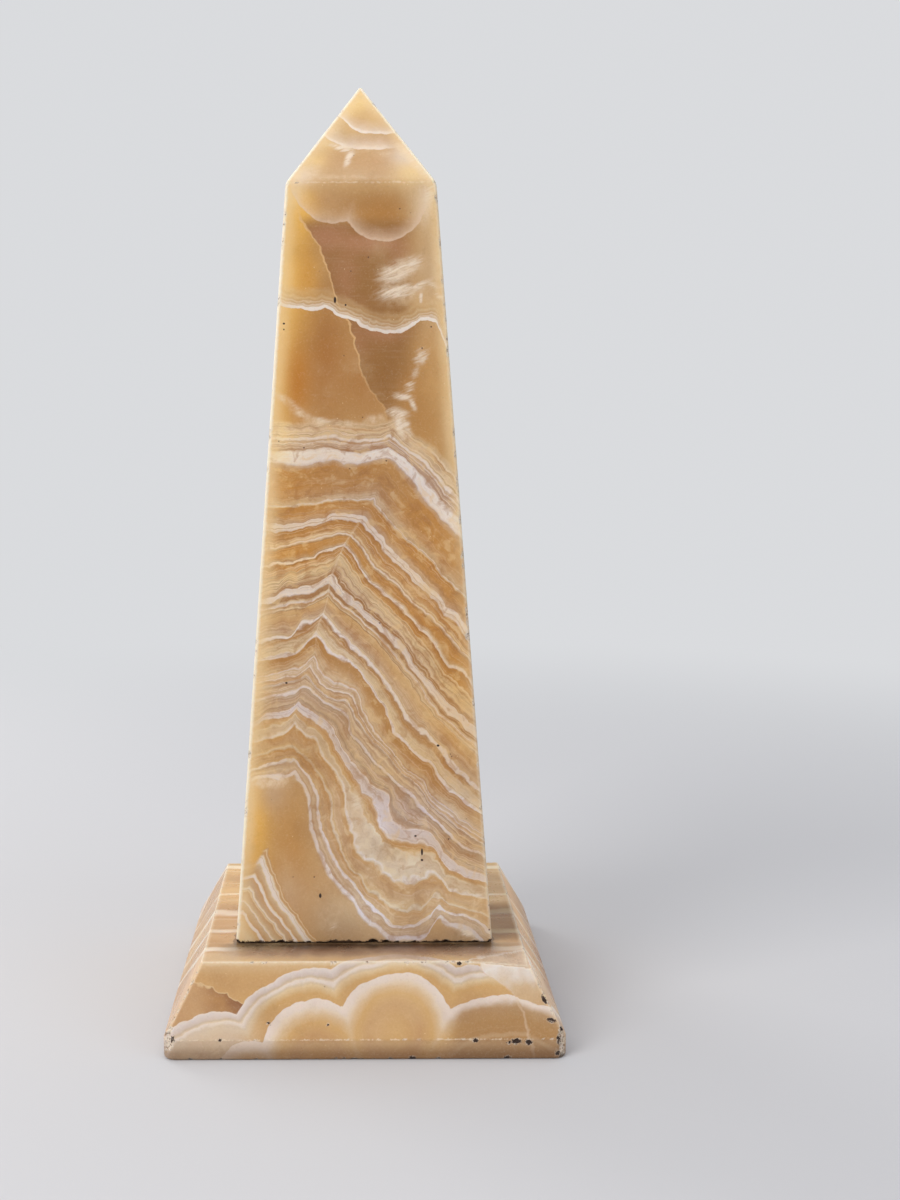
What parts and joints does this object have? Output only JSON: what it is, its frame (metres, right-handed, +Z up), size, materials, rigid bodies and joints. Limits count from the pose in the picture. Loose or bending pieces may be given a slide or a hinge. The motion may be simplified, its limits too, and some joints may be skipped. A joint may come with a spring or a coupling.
{
  "type": "banded onyx table obelisk",
  "caption": "Table ornament: a tapering square shaft of banded onyx with a pointed head, standing on a splayed onyx base block.",
  "frame": {"origin": "middle of the base's underside", "axes": "+Z up, front towards -Y, +X to the right seen from the front"},
  "size_m": [0.239, 0.239, 0.58],
  "materials": {
    "base_onyx": "polished, worn at the arrises",
    "shaft_onyx": "polished, worn at the arrises"
  },
  "bodies": {
    "root": {"base": "base_onyx", "shaft": "shaft_onyx"}
  },
  "joints": []
}
